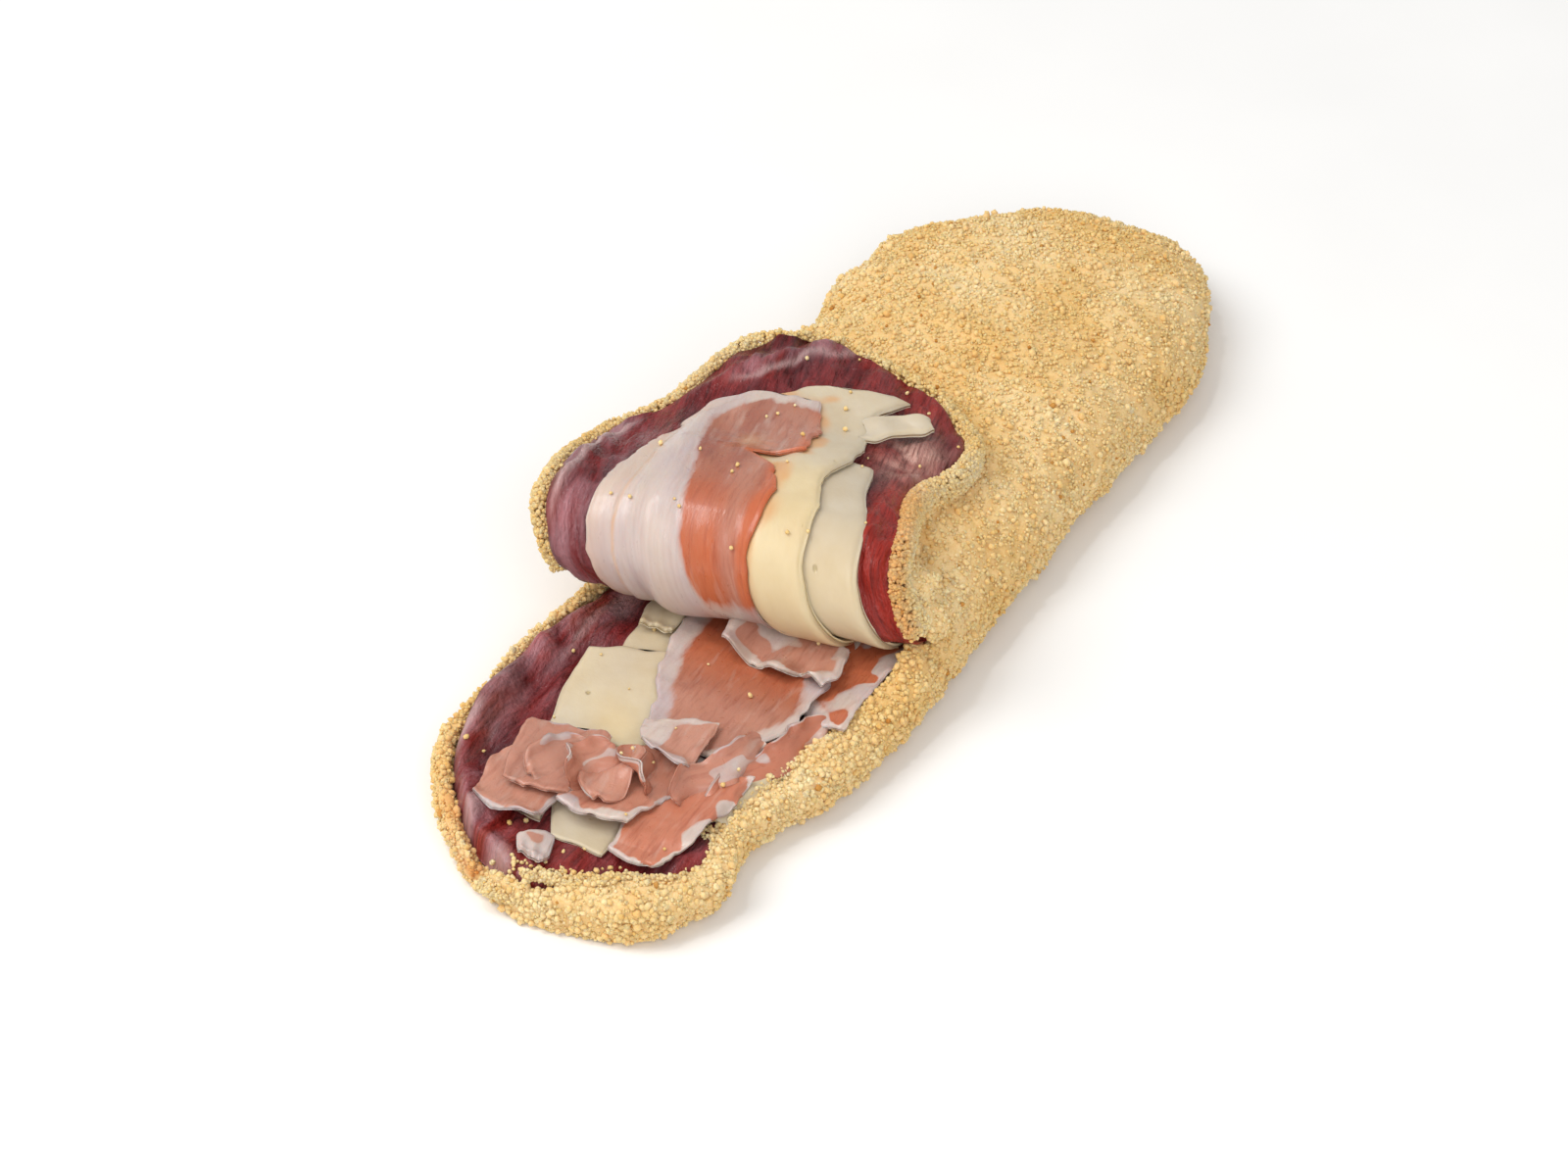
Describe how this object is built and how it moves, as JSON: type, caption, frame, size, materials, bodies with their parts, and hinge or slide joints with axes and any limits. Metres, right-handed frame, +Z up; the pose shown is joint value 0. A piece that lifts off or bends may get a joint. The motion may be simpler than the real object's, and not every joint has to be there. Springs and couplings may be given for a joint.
{
  "type": "breaded stuffed veal steak",
  "caption": "Raw veal pocket stuffed with cured ham and cheese slices, coated in breadcrumbs, with one end peeled open and folded back to show the filling.",
  "frame": {"origin": "centre of the bounding box on the surface that the steak lies on", "axes": "+X along the steak from the opened end to the closed end, +Y to the left seen from the opened end, +Z up"},
  "size_m": [0.3356, 0.1236, 0.0588],
  "materials": {
    "crumbs": "matte dry golden breadcrumbs",
    "veal": "wet raw veal, fibrous, glossy",
    "ham": "moist cured ham with white fat bands",
    "cheese": "smooth pale semi-soft cheese",
    "fat": "moist white ham fat"
  },
  "bodies": {
    "root": {"back_ham_slice": "ham", "big_cheese_slice": "cheese", "crumb_coat": "crumbs", "fat_scrap": "fat", "folded_ham_slice": "ham", "front_cheese_slice": "cheese", "front_ham_slice": "ham", "ham_ruffle_1": "ham", "ham_ruffle_2": "ham", "ham_ruffle_3": "ham", "ham_ruffle_4": "ham", "ham_ruffle_5": "ham", "ham_ruffle_6": "ham", "left_cheese_slice": "cheese", "left_ham_slice": "ham", "loose_ham_edge": "ham", "lower_cheese_layer": "cheese", "lower_fillet": "veal", "lower_ham_layer": "ham", "pale_ham_slice": "ham", "right_cheese_slice": "cheese", "right_ham_slice": "ham", "torn_cheese_strip": "cheese", "upper_cheese_layer": "cheese", "upper_cheese_slice": "cheese", "upper_fillet": "veal", "upper_ham_layer": "ham"}
  },
  "joints": []
}
